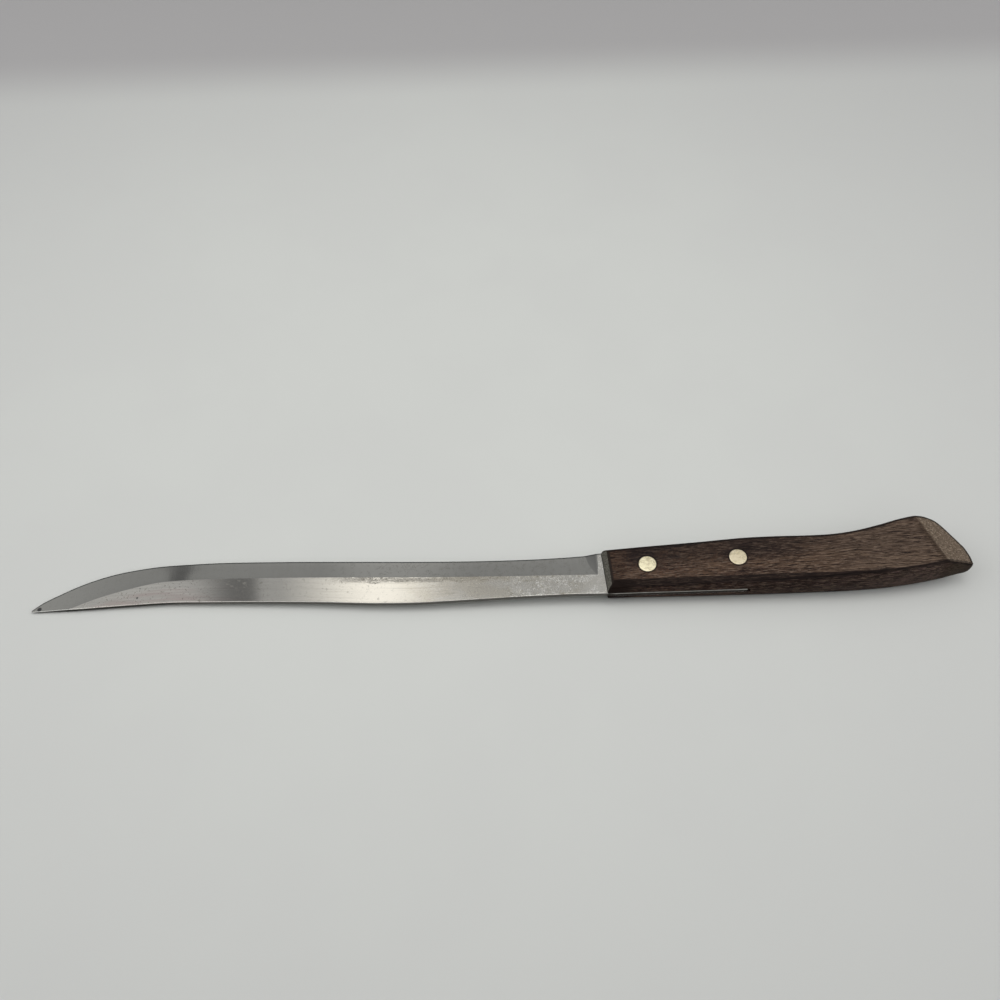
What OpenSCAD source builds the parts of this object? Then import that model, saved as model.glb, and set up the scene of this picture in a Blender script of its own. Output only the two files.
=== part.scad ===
// Carving knife: a slim hollow ground blade with an upswept edge, whose short tang sits
// in a sawn slot in a one-piece wooden handle and is held by two pressed rivets.
// X runs along the knife with the tip at -X, +Y is the side of the cutting edge,
// and Z is square to the flats of the blade. Sizes are in millimetres.

/* [Blade] */
// Length of the blade from the tip to the front of the handle
blade_len = 209.5; // [180:0.5:240]
// Thickness of the blade stock, kept in the tang
stock_t = 2; // [1.8:0.1:3]
// Thickness that the tapered flats come down to at the tip
tip_t = 1.6; // [1.2:0.1:1.7]
// Thickness of the steel just behind the sharpened edge
edge_t = 0.3; // [0.2:0.05:0.6]
// Width of the sharpened bevel along the cutting edge
bevel_w = 0.4; // [0.2:0.1:0.8]
// How deep the grind is hollowed, where 0 is a flat grind
hollow = 0.7; // [0:0.05:0.8]
// Unground strip between the end of the grind and the handle
ricasso_len = 2.7; // [2:0.1:8]
// Length over which the grinding wheel lifts off, along the edge
runout_len = 3.6; // [1:0.1:6]

/* [Tang] */
// Length of the tang inside the handle
tang_len = 50.6; // [50.6:0.1:58]
// Gap between the end of the tang and the end of the slot, on the spine side
slot_gap = 1.3; // [0.3:0.1:2]
// Radius of the saw that cut the slot
saw_r = 60; // [40:1:90]

/* [Handle] */
// Length of the handle
handle_len = 133.6; // [120:0.1:145]
// How far the front leans over the blade on the edge side, as it was cut by eye
front_skew = 0.7; // [0:0.1:1.5]
// Thickness of the handle at its front
front_t = 11.2; // [10:0.1:13]
// Thickness of the handle in its straight rear part
rear_t = 14.8; // [13.5:0.1:16]
// How far the crowned sides stand out past the edges of the broad faces
crown = 1.5; // [0.8:0.1:1.8]
// Radius that the edges of the broad faces are eased to
edge_ease = 0.9; // [0.4:0.1:1]
// How much further in the broad faces end at the front, along the spine side
chamfer_in = 1.4; // [0.5:0.1:2]
// Length over which that chamfer runs out
chamfer_len = 92; // [70:1:110]
// Slope of the chamfer below the broad face
chamfer_slope = 31; // [25:1:40]
// Where the bevel of the butt starts on the centre line, from the front
butt_bevel_x = 120.3; // [112:0.1:124]
// Slope of the butt bevel below the broad face
butt_bevel_slope = 23.4; // [15:0.1:26]
// How far the butt bevel is turned away from square to the knife
butt_bevel_turn = 18.4; // [0:0.1:25]

/* [Rivets] */
// Diameter of the flush rivet heads
head_d = 6.35; // [5.5:0.05:7]
// Thickness of a rivet head at its centre
head_t = 1.7; // [1.2:0.1:2.4]
// Outer diameter of the hollow rivet's tube
tube_d = 4.2; // [3.8:0.1:4.6]
// Diameter of the solid rivet's shank, pressed into the tube
shank_d = 3; // [2.4:0.1:3.2]
// Distance of the front rivet from the front of the handle
front_rivet_x = 15.1; // [10:0.1:20]
// Distance of the rear rivet from the front of the handle
rear_rivet_x = 48; // [36:0.1:48]
// Height of the front rivet above the centre line
front_rivet_y = 0.2; // [-2:0.1:2]
// Height of the rear rivet above the centre line
rear_rivet_y = 0.5; // [-2:0.1:2]

/* [Hidden] */
$fn = 64;

// Lines of the blade: distance from the handle as a share of the blade's length, then height
edge_shape = [
    [-1, -1.65], [-0.9885, 0.4], [-0.96, 3.87], [-0.925, 7.45], [-0.875, 11.03], [-0.806, 13.45],
    [-0.717, 14.05], [-0.574, 12.95], [-0.431, 11.1], [-0.288, 9.2], [-0.182, 8.2],
    [-0.095, 7.86], [-0.04, 8.03], [0, 8.33]
];
spine_shape = [
    [-1, -2.35], [-0.92, -2.33], [-0.83, -1.95], [-0.75, -1.9], [-0.7, -2.45], [-0.6, -3.65],
    [-0.5, -5.15], [-0.4, -6.95], [-0.33, -7.67], [-0.28, -7.7], [-0.15, -7.6], [-0.05, -7.87],
    [0, -8.35]
];
grind_shape = [
    [-1, -8.6], [-0.93, -1.9], [-0.897, 0.9], [-0.836, 4.6], [-0.782, 6.75], [-0.743, 7.05],
    [-0.676, 6.8], [-0.535, 5.4], [-0.359, 3.1], [-0.184, 1.15], [-0.02, -0.4], [0, -0.6]
];

// Lines of the handle at half thickness: share of the handle's length, then height
upper_shape = [
    [0, 8.4], [0.112, 8.85], [0.26, 9.28], [0.4, 9.8], [0.48, 9.53], [0.57, 9], [0.63, 9],
    [0.69, 9.8], [0.76, 11.7], [0.83, 13.95], [0.87, 14.7], [0.905, 14.2], [0.94, 11.75],
    [0.965, 7.15], [0.983, 3.4], [0.995, 0.4], [1, -2.7]
];
lower_shape = [
    [0, -8.6], [0.09, -8.85], [0.23, -9.4], [0.38, -9.85], [0.53, -10.15], [0.69, -10.25],
    [0.78, -9.85], [0.83, -9.3], [0.88, -8.5], [0.94, -7.25], [0.975, -6.5], [0.992, -6.25],
    [1, -5.85]
];

// Stations along the blade, closer together towards the tip
tip_zone = 50;
tip_step = 2;
long_step = 5;
grind_x = [
    for (x = [-blade_len : tip_step : tip_zone - blade_len - tip_step]) x,
    for (x = [tip_zone - blade_len : long_step : -ricasso_len - long_step / 2]) x,
    -ricasso_len,
    0
];
tang_steps = 10;
tang_x = [for (i = [0 : tang_steps]) tang_len * i / tang_steps];

// Stations along the handle, closer together where the butt turns
butt_share = 0.86;
body_rows = 30;
butt_rows = 14;
handle_x = handle_len * [
    for (i = [0 : body_rows - 1]) butt_share * i / body_rows,
    for (i = [0 : butt_rows]) butt_share + (1 - butt_share) * sin(90 * i / butt_rows)
];

// The broad faces rise in a straight line to taper_end and are level from level_start
taper_end = 0.46 * handle_len;
level_start = 0.72 * handle_len;
taper_rise = (rear_t - front_t) / (taper_end + level_start);
taper_angle = atan(taper_rise);

// Slope of the smooth line through a list of points, at point i
function rise(p, i) = (p[i + 1][1] - p[i][1]) / (p[i + 1][0] - p[i][0]);
function slope(p, i) =
    i == 0 ? rise(p, 0)
    : i == len(p) - 1 ? rise(p, i - 1)
    : let (a = p[i][0] - p[i - 1][0], b = p[i + 1][0] - p[i][0])
      (rise(p, i - 1) * b + rise(p, i) * a) / (a + b);

// Height of that line at share u
function span(p, u, i = 0) = i >= len(p) - 2 || u <= p[i + 1][0] ? i : span(p, u, i + 1);
function line_y(p, u) =
    let (i = span(p, u), d = p[i + 1][0] - p[i][0], t = (u - p[i][0]) / d)
    p[i][1] * (2 * t * t * t - 3 * t * t + 1) + slope(p, i) * d * (t * t * t - 2 * t * t + t)
    + p[i + 1][1] * (3 * t * t - 2 * t * t * t) + slope(p, i + 1) * d * (t * t * t - t * t);

function edge_y(x) = line_y(edge_shape, x / blade_len);
function spine_y(x) = line_y(spine_shape, x / blade_len);
function grind_y(x) = line_y(grind_shape, x / blade_len);
function upper_y(x) = line_y(upper_shape, x / handle_len);
function lower_y(x) = line_y(lower_shape, x / handle_len);

// Half thickness at x of the blade between its tapered flats, and of the handle
function flat_z(x) = stock_t / 2 + (stock_t - tip_t) / 2 * (x + ricasso_len) / (blade_len - ricasso_len);
function broad_z(x) =
    front_t / 2 + taper_rise * (
        x < taper_end ? x
        : x > level_start ? (taper_end + level_start) / 2
        : x - (x - taper_end) * (x - taper_end) / (2 * (level_start - taper_end))
    );

// The knife lies with its lowest face on z = 0 and its length and width centred
centre_x = (blade_len - handle_len) / 2;
centre_y = -(max([for (x = handle_x) upper_y(x)]) + min([for (x = handle_x) lower_y(x)])) / 2;
module placed() {
    translate([centre_x, centre_y, rear_t / 2]) children();
}

// Triangles that close a ring of n points whose two halves run side by side
function cap(n, first, flip) = [
    for (k = [0 : n / 2 - 2])
        let (a = first + k, b = first + n - 1 - k)
        each flip ? [[a, b, b - 1], [a, b - 1, a + 1]] : [[a, b - 1, b], [a, a + 1, b - 1]]
];

// Closed solid through rings of points that all have the same count
module skin(rings) {
    n = len(rings[0]);
    last = len(rings) - 1;
    sides = [
        for (j = [0 : last - 1], k = [0 : n - 1])
            let (a = j * n + k, b = j * n + (k + 1) % n)
            each [[a, b, b + n], [a, b + n, a + n]]
    ];
    points = [for (ring = rings) each ring];
    polyhedron(points, concat(sides, cap(n, 0, true), cap(n, last * n, false)));
}

// Cross-section at x of what the grinding wheel takes off one side of the blade.
// It starts past the sharpened edge, follows the hollow and leaves through the flat.
wheel_points = 7;
wheel_past = 1.1;
wheel_clear = 3;
edge_land = 0.1;
function wheel_section(x) =
    let (
        top = edge_y(x),
        width = top - bevel_w - grind_y(x),
        flat = flat_z(min(x, -ricasso_len)),
        sharp = (edge_t - edge_land) / 2 / bevel_w,
        ground = [
            [x, top + 1, edge_land / 2 - sharp],
            for (i = [0 : wheel_points])
                let (s = wheel_past * i / wheel_points)
                [x, top - bevel_w - width * s, edge_t / 2 + (flat - edge_t / 2) * s * (1 - hollow + hollow * s)]
        ]
    )
    concat(ground, [for (i = [len(ground) - 1 : -1 : 0]) [x, ground[i][1], wheel_clear]]);

// How wide the plain cutters are, more than any piece that they cut
reach = 60;

// What stays under the wheel as it lifts off towards the handle
module runout_ramp() {
    slope = (stock_t - edge_t) / 2 / runout_len;
    under = 20;
    rotate([90, 0, 0])
        linear_extrude(reach, center = true)
            polygon([
                [-ricasso_len - under, stock_t / 2 - slope * under],
                [under, stock_t / 2 + slope * (under + ricasso_len)],
                [under, -under],
                [-ricasso_len - under, -under]
            ]);
}

module wheel_cut() {
    difference() {
        skin([for (x = concat([-blade_len - 1], grind_x)) wheel_section(x)]);
        runout_ramp();
    }
}

// Seen from the side, the stock with its flats tapered towards the tip
module tapered_stock() {
    past = 1;
    tip_half = flat_z(-blade_len - past);
    upper_half = [[-blade_len - past, tip_half], [-ricasso_len, stock_t / 2], [tang_len + past, stock_t / 2]];
    rotate([90, 0, 0])
        linear_extrude(reach, center = true)
            polygon(concat(upper_half, [for (i = [2 : -1 : 0]) [upper_half[i][0], -upper_half[i][1]]]));
}

// Seen square to the flats, the blade and its tang, which is flush with the wood on the spine
// side and a little under it on the edge side
tang_under = 0.1;
module blade_outline() {
    polygon(concat(
        [for (x = grind_x) [x, edge_y(x)]],
        [for (x = tang_x) [x, upper_y(x) - tang_under]],
        [for (i = [tang_steps : -1 : 0]) [tang_x[i], lower_y(tang_x[i])]],
        [for (i = [len(grind_x) - 1 : -1 : 0]) [grind_x[i], spine_y(grind_x[i])]]
    ));
}

// Puts its children at both rivets
module at_rivets() {
    translate([front_rivet_x, front_rivet_y, 0]) children();
    translate([rear_rivet_x, rear_rivet_y, 0]) children();
}

// Blade and tang, ground from one strip of stainless steel
module blade() {
    color([0.68, 0.68, 0.67]) placed() difference() {
        intersection() {
            linear_extrude(2 * wheel_clear, center = true) blade_outline();
            tapered_stock();
        }
        both_sides() wheel_cut();
        at_rivets() cylinder(h = 2 * wheel_clear, d = tube_d, center = true);
    }
}

// Heights at x of the two lines of the handle, each moved in by a distance square to itself
probe = 0.05;
function upper_in(x, inset) =
    upper_y(x) - inset * norm([1, (upper_y(x + probe) - upper_y(x - probe)) / (2 * probe)]);
function lower_in(x, inset) =
    lower_y(x) + inset * norm([1, (lower_y(x + probe) - lower_y(x - probe)) / (2 * probe)]);

// How far the edge side lies forward at x, dying out behind the front
skew_reach = 12;
function skewed(x) = x - front_skew * max(0, 1 - x / skew_reach);

// Outline of the handle moved in all round, out along the edge side and back along the spine side
function outline_in(inset) =
    let (inner_x = [for (x = handle_x) inset + x * (1 - 2 * inset / handle_len)])
    concat(
        [for (x = inner_x) [skewed(x), upper_in(x, inset)]],
        [for (i = [len(inner_x) - 1 : -1 : 0]) [inner_x[i], lower_in(inner_x[i], inset)]]
    );

// Side of the handle from half thickness up to the broad face: how far in, and how high as a
// share of the half thickness. The crown is a parabola and the edge is eased with an arc.
mean_half = (front_t + rear_t) / 4;
ease_start = atan(2 * crown / mean_half);
ease_share = 1 - edge_ease * (1 - sin(ease_start)) / mean_half;
ease_in = crown * ease_share * ease_share + edge_ease * cos(ease_start);
crown_rows = 4;
ease_rows = 4;
side_profile = [
    for (i = [0 : crown_rows - 1])
        let (s = ease_share * i / crown_rows)
        [crown * s * s, s],
    for (i = [0 : ease_rows])
        let (a = ease_start + (90 - ease_start) * i / ease_rows)
        [ease_in - edge_ease * cos(a), 1 - edge_ease * (1 - sin(a)) / mean_half]
];

// The shaped wood before it is sanded flat, slotted, drilled and bevelled
sanding = 0.05;
module handle_body() {
    last = len(side_profile) - 1;
    levels = concat(
        [for (i = [last : -1 : 1]) [side_profile[i][0], -side_profile[i][1]]],
        side_profile
    );
    skin([
        for (level = levels) [
            for (p = outline_in(level[0])) [p[0], p[1], level[1] * (broad_z(p[0]) + sanding)]
        ]
    ]);
}

// What is sanded off one side: a straight taper at the front and a level face behind it
module sanded_off() {
    translate([0, 0, front_t / 2])
        rotate([0, -taper_angle, 0])
            translate([-reach / 2, -reach / 2, 0]) cube([handle_len + reach, reach, reach / 4]);
    translate([0, -reach / 2, rear_t / 2]) cube([handle_len + reach, reach, reach / 4]);
}

// What the chamfer takes off one broad face along the spine side
module chamfer_cut() {
    start_y = lower_y(0) + ease_in + chamfer_in;
    end_y = lower_y(chamfer_len) + ease_in;
    translate([0, start_y, front_t / 2])
        rotate([0, -taper_angle, 0])
            rotate([chamfer_slope, 0, atan((end_y - start_y) / chamfer_len)])
                translate([-reach / 2, -reach / 2, 0]) cube([handle_len + reach, reach, reach / 4]);
}

// What the bevel takes off the butt on one side
module butt_cut() {
    translate([butt_bevel_x, 0, rear_t / 2])
        rotate([0, 0, butt_bevel_turn])
            rotate([0, butt_bevel_slope, 0])
                translate([-reach / 4, -reach / 2, 0]) cube([reach, reach, reach]);
}

// Repeats its children on the lower side
module both_sides() {
    children();
    mirror([0, 0, 1]) children();
}

// How high the inner face of a rivet's head sits above half thickness
function seat_z(x) = broad_z(x) - head_t;

// Drilling for one rivet: a bore for the tube and a seat for the head on both sides
module rivet_drilling(x, y) {
    translate([x, y, 0]) {
        cylinder(h = 2 * rear_t, d = tube_d, center = true);
        both_sides() translate([0, 0, seat_z(x)]) cylinder(h = rear_t, d = head_d);
    }
}

// Wooden handle, sawn from one piece, with the saw's slot for the tang
module handle() {
    saw_reach = tang_len + slot_gap + saw_r - sqrt(saw_r * saw_r - pow(lower_y(tang_len), 2));
    color([0.31, 0.24, 0.19]) placed() difference() {
        handle_body();
        translate([saw_reach - saw_r, 0, 0]) cylinder(h = stock_t, r = saw_r, center = true, $fn = 180);
        rivet_drilling(front_rivet_x, front_rivet_y);
        rivet_drilling(rear_rivet_x, rear_rivet_y);
        both_sides() {
            sanded_off();
            chamfer_cut();
            butt_cut();
        }
    }
}

// Cuts its children off level with the broad face of the handle
module ground_flush() {
    difference() {
        children();
        sanded_off();
    }
}

// Head of a rivet, whose rim stands out over the wood's seat
module rivet_head(x) {
    translate([0, 0, seat_z(x)]) cylinder(h = 2 * head_t, d = head_d);
}

// Solid rivet, pressed in from the upper side, with a chamfered end
shank_short = 1;
shank_chamfer = 0.5;
module rivet_male(x, y) {
    end_z = -seat_z(x) + shank_short;
    color([0.8, 0.75, 0.6]) placed() ground_flush() translate([x, y, 0]) {
        rivet_head(x);
        translate([0, 0, end_z + shank_chamfer]) cylinder(h = seat_z(x) - end_z, d = shank_d);
        translate([0, 0, end_z])
            cylinder(h = shank_chamfer, d1 = shank_d - 2 * shank_chamfer, d2 = shank_d);
    }
}

// Hollow rivet in the lower side, whose tube takes the solid rivet's shank
tube_short = 0.6;
module rivet_female(x, y) {
    color([0.8, 0.75, 0.6]) placed() mirror([0, 0, 1]) ground_flush() translate([x, y, 0]) {
        difference() {
            union() {
                rivet_head(x);
                translate([0, 0, tube_short - seat_z(x)]) cylinder(h = 2 * seat_z(x), d = tube_d);
            }
            translate([0, 0, -2 * seat_z(x)]) cylinder(h = 3 * seat_z(x) - shank_short / 2, d = shank_d);
        }
    }
}

module front_rivet_male() {
    rivet_male(front_rivet_x, front_rivet_y);
}

module front_rivet_female() {
    rivet_female(front_rivet_x, front_rivet_y);
}

module rear_rivet_male() {
    rivet_male(rear_rivet_x, rear_rivet_y);
}

module rear_rivet_female() {
    rivet_female(rear_rivet_x, rear_rivet_y);
}

blade();
handle();
front_rivet_male();
front_rivet_female();
rear_rivet_male();
rear_rivet_female();
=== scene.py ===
# A carving knife: an upswept, hollow ground steel blade whose tang is pinned by two rivets
# in the sawn slot of a one-piece wooden handle. It lies on its side on a pale table.
import math

import bmesh
import bpy
import numpy as np
from mathutils import Matrix, Vector


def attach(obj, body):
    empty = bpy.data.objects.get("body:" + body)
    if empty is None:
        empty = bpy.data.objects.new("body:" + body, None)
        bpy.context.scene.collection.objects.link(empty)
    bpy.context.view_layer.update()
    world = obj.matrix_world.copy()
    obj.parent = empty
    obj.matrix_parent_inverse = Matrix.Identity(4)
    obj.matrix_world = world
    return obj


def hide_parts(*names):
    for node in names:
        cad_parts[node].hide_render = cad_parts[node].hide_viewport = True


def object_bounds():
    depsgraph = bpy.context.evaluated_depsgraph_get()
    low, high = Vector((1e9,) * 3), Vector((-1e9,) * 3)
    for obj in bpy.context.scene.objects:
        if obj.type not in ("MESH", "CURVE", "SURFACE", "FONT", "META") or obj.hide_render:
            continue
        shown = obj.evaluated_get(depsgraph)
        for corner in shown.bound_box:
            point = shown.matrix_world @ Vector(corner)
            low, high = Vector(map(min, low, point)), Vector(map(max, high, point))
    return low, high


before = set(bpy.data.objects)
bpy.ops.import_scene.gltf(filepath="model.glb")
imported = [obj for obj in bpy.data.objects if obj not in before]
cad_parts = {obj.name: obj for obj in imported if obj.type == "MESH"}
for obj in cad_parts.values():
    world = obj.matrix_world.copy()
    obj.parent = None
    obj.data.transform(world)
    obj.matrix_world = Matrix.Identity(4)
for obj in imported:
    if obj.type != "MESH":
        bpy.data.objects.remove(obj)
cad_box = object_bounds()


# Blade. One strip of stainless steel, 2 mm thick, sheared to outline, with both flats polished
# lengthwise. A large wheel grinds a hollow from each side, leaves through the flat along the
# grind line and stops a few millimetres before the handle. The tang runs on into the wood.
BLADE_LEN = 209.5
STOCK_T = 2.0
TIP_T = 1.6
EDGE_T = 0.3
EDGE_LAND = 0.1
BEVEL_W = 0.4
HOLLOW = 0.7
RICASSO = 2.7
RUNOUT = 3.6
TANG_LEN = 50.6
TANG_UNDER = 0.1
SPINE_EASE = 0.18
TIP_PART = 49.5
MID_RICASSO = 1.3
EASE_BEND = 0.13
SHARP_STEEL = 4.5

# Middle of the knife's length and width, and half its thickness, from the blade's middle plane
# at the front of the handle. All sizes here are in millimetres.
CENTRE = np.array([37.95, -2.20130, 7.4])

# Lines of the blade and handle: distance as a share of the length, then height
EDGE_SHAPE = [
    (-1, -1.65), (-0.9885, 0.4), (-0.96, 3.87), (-0.925, 7.45), (-0.875, 11.03), (-0.806, 13.45),
    (-0.717, 14.05), (-0.574, 12.95), (-0.431, 11.1), (-0.288, 9.2), (-0.182, 8.2),
    (-0.095, 7.86), (-0.04, 8.03), (0, 8.33),
]
SPINE_SHAPE = [
    (-1, -2.35), (-0.92, -2.33), (-0.83, -1.95), (-0.75, -1.9), (-0.7, -2.45), (-0.6, -3.65),
    (-0.5, -5.15), (-0.4, -6.95), (-0.33, -7.67), (-0.28, -7.7), (-0.15, -7.6), (-0.05, -7.87),
    (0, -8.35),
]
GRIND_SHAPE = [
    (-1, -8.6), (-0.93, -1.9), (-0.897, 0.9), (-0.836, 4.6), (-0.782, 6.75), (-0.743, 7.05),
    (-0.676, 6.8), (-0.535, 5.4), (-0.359, 3.1), (-0.184, 1.15), (-0.02, -0.4), (0, -0.6),
]
UPPER_SHAPE = [
    (0, 8.4), (0.112, 8.85), (0.26, 9.28), (0.4, 9.8), (0.48, 9.53), (0.57, 9), (0.63, 9),
    (0.69, 9.8), (0.76, 11.7), (0.83, 13.95), (0.87, 14.7), (0.905, 14.2), (0.94, 11.75),
    (0.965, 7.15), (0.983, 3.4), (0.995, 0.4), (1, -2.7),
]
LOWER_SHAPE = [
    (0, -8.6), (0.09, -8.85), (0.23, -9.4), (0.38, -9.85), (0.53, -10.15), (0.69, -10.25),
    (0.78, -9.85), (0.83, -9.3), (0.88, -8.5), (0.94, -7.25), (0.975, -6.5), (0.992, -6.25),
    (1, -5.85),
]
HANDLE_LEN = 133.6


def smooth_line(shape, length):
    """Height at x of the smooth line through a shape's points."""
    share, height = np.array(shape, float).T
    gap = np.diff(share)
    rise = np.diff(height) / gap
    inner = (rise[:-1] * gap[1:] + rise[1:] * gap[:-1]) / (gap[:-1] + gap[1:])
    slope = np.concatenate((rise[:1], inner, rise[-1:]))

    def height_at(x):
        u = np.asarray(x, float) / length
        i = np.clip(np.searchsorted(share, u) - 1, 0, len(gap) - 1)
        d = gap[i]
        t = (u - share[i]) / d
        start = height[i] * (2 * t**3 - 3 * t**2 + 1) + slope[i] * d * (t**3 - 2 * t**2 + t)
        end = height[i + 1] * (3 * t**2 - 2 * t**3) + slope[i + 1] * d * (t**3 - t**2)
        return start + end

    return height_at


edge_y = smooth_line(EDGE_SHAPE, BLADE_LEN)
spine_y = smooth_line(SPINE_SHAPE, BLADE_LEN)
grind_y = smooth_line(GRIND_SHAPE, BLADE_LEN)
upper_y = smooth_line(UPPER_SHAPE, HANDLE_LEN)
lower_y = smooth_line(LOWER_SHAPE, HANDLE_LEN)


def blade_half(x, y, top):
    """Half thickness of the blade at x and y, where top is the height of the cutting edge."""
    taper = (STOCK_T - TIP_T) / 2 / (BLADE_LEN - RICASSO)
    flat = STOCK_T / 2 + taper * (np.minimum(x, -RICASSO) + RICASSO)
    below = top - y
    width = top - BEVEL_W - grind_y(np.minimum(x, 0))
    s = np.clip((below - BEVEL_W) / width, 0, 1)
    hollow = EDGE_T / 2 + (flat - EDGE_T / 2) * s * (1 - HOLLOW + HOLLOW * s)
    bevel = EDGE_LAND / 2 + (EDGE_T - EDGE_LAND) / 2 * below / BEVEL_W
    ground = np.where(below < BEVEL_W, bevel, hollow)
    lifting = STOCK_T / 2 + (STOCK_T - EDGE_T) / 2 / RUNOUT * (x + RICASSO)
    return np.minimum(flat, np.maximum(ground, lifting))


def mesh_object(name, points, faces):
    """A new object from points in millimetres, measured from the handle's front."""
    mesh = bpy.data.meshes.new(name)
    mesh.from_pydata((np.asarray(points, float) + CENTRE) / 1000, [], faces)
    piece = bpy.data.objects.new(name, mesh)
    bpy.context.scene.collection.objects.link(piece)
    return piece


def clean(piece, sharp):
    """Merges doubled points, turns the faces outwards and keeps angles over sharp degrees crisp."""
    work = bmesh.new()
    work.from_mesh(piece.data)
    bmesh.ops.remove_doubles(work, verts=work.verts, dist=2e-7)
    bmesh.ops.dissolve_degenerate(work, edges=work.edges, dist=1e-7)
    bmesh.ops.recalc_face_normals(work, faces=work.faces)
    for face in work.faces:
        face.smooth = True
    work.to_mesh(piece.data)
    work.free()
    piece.data.set_sharp_from_angle(angle=math.radians(sharp))


def bar(x, y, radius, low, high, sides):
    """A round cutter that stands square to the blade."""
    turn = np.linspace(0, 2 * math.pi, sides, endpoint=False)
    ring = np.column_stack((x + radius * np.cos(turn), y + radius * np.sin(turn)))
    points = [(*p, z) for z in (low, high) for p in ring]
    walls = [(k, (k + 1) % sides, sides + (k + 1) % sides, sides + k) for k in range(sides)]
    ends = [tuple(reversed(range(sides))), tuple(range(sides, 2 * sides))]
    return mesh_object("cutter", points, walls + ends)


def cut(piece, cutter):
    """Takes the cutter's shape out of the piece."""
    change = piece.modifiers.new("cut", "BOOLEAN")
    change.operation = "DIFFERENCE"
    change.solver = "EXACT"
    change.object = cutter
    left = piece.evaluated_get(bpy.context.evaluated_depsgraph_get())
    mesh = bpy.data.meshes.new_from_object(left)
    piece.modifiers.clear()
    piece.data = mesh
    bpy.data.objects.remove(cutter)


def local_mm(piece):
    """The points of a piece in millimetres, measured from the handle's front."""
    found = np.zeros(len(piece.data.vertices) * 3)
    piece.data.vertices.foreach_get("co", found)
    return found.reshape(-1, 3) * 1000 - CENTRE


def keep_value(piece, name, values):
    """Stores one number per point for the piece's material to read."""
    piece.data.attributes.new(name, "FLOAT", "POINT").data.foreach_set("value", values)


# Where the wheel lifts off, a row of points lies wherever its ramp leaves the hollow
hollow_share = np.linspace(0, 1, 13)
hollow_left = 1 - hollow_share * (1 - HOLLOW + HOLLOW * hollow_share)
land_left = (STOCK_T - EDGE_LAND) / (STOCK_T - EDGE_T)
runout_x = -RICASSO - RUNOUT * np.append(land_left, hollow_left)
tip_x = np.arange(-BLADE_LEN, TIP_PART - BLADE_LEN, 1)
long_x = np.arange(TIP_PART - BLADE_LEN, runout_x[0] - 1, 2)
tang_x = np.linspace(0, TANG_LEN, 18)
blade_x = np.concatenate((tip_x, long_x, runout_x, [-MID_RICASSO], tang_x))[:, None]
in_wood = blade_x > 0
wood_x, bare_x = np.maximum(blade_x, 0), np.minimum(blade_x, 0)
top = np.where(in_wood, upper_y(wood_x) - TANG_UNDER, edge_y(bare_x))
low = np.where(in_wood, lower_y(wood_x), spine_y(bare_x))
line = np.maximum(grind_y(bare_x), low)

# From the edge down: the sharpened bevel, the hollow, the flat and the eased corner of the spine
flat_share = np.linspace(0, 1, 7)[1:]
ease = np.minimum(SPINE_EASE, 0.25 * (top - low))
hollow_from = np.maximum(top - BEVEL_W, low + ease)
hollow_to = np.maximum(line, low + ease)
section_y = np.hstack((
    top, hollow_from + (hollow_to - hollow_from) * hollow_share,
    hollow_to + (low + ease - hollow_to) * flat_share,
))
section_z = blade_half(blade_x, section_y, top)
corner_z = section_z[:, -1:]
corner_y = low + ease * np.array([[0.5, EASE_BEND, 0]])
corner_z = corner_z - np.minimum(ease, 0.5 * corner_z) * np.array([[EASE_BEND, 0.5, 1]])
half_y = np.hstack((section_y, corner_y))
half_z = np.hstack((section_z, corner_z))
ring_y = np.hstack((half_y, low, half_y[:, ::-1]))
ring_z = np.hstack((half_z, 0 * low, -half_z[:, ::-1]))
rows, around = ring_y.shape
blade_points = np.dstack((np.broadcast_to(blade_x, ring_y.shape), ring_y, ring_z)).reshape(-1, 3)
spine_columns = (half_y.shape[1] - 1, half_y.shape[1])
ramp_rows = range(len(tip_x) + len(long_x) + 1, len(tip_x) + len(long_x) + len(runout_x) - 1)
blade_faces = [tuple(range(around)), tuple(reversed(range((rows - 1) * around, rows * around)))]
spine_faces = [False, False]
for j in range(rows - 1):
    for k in range(around):
        a, b = j * around + k, j * around + (k + 1) % around
        if j not in ramp_rows:
            made = [(a, a + around, b + around, b)]
        elif k < around // 2:
            made = [(a, a + around, b + around), (a, b + around, b)]
        else:
            made = [(a, a + around, b), (b, a + around, b + around)]
        blade_faces += made
        spine_faces += [k in spine_columns] * len(made)
blade = mesh_object("slim_blade", blade_points, blade_faces)
for face, on_spine in zip(blade.data.polygons, spine_faces):
    face.material_index = int(on_spine)
clean(blade, SHARP_STEEL)

FRONT_RIVET = (15.1, 0.2)
REAR_RIVET = (48, 0.5)
TUBE_R = 2.1
HOLE_R = TUBE_R + 0.02
for rivet in (FRONT_RIVET, REAR_RIVET):
    cut(blade, bar(*rivet, HOLE_R, -1.5 * STOCK_T, 1.5 * STOCK_T, 48))
blade.data.set_sharp_from_angle(angle=math.radians(SHARP_STEEL))

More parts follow.
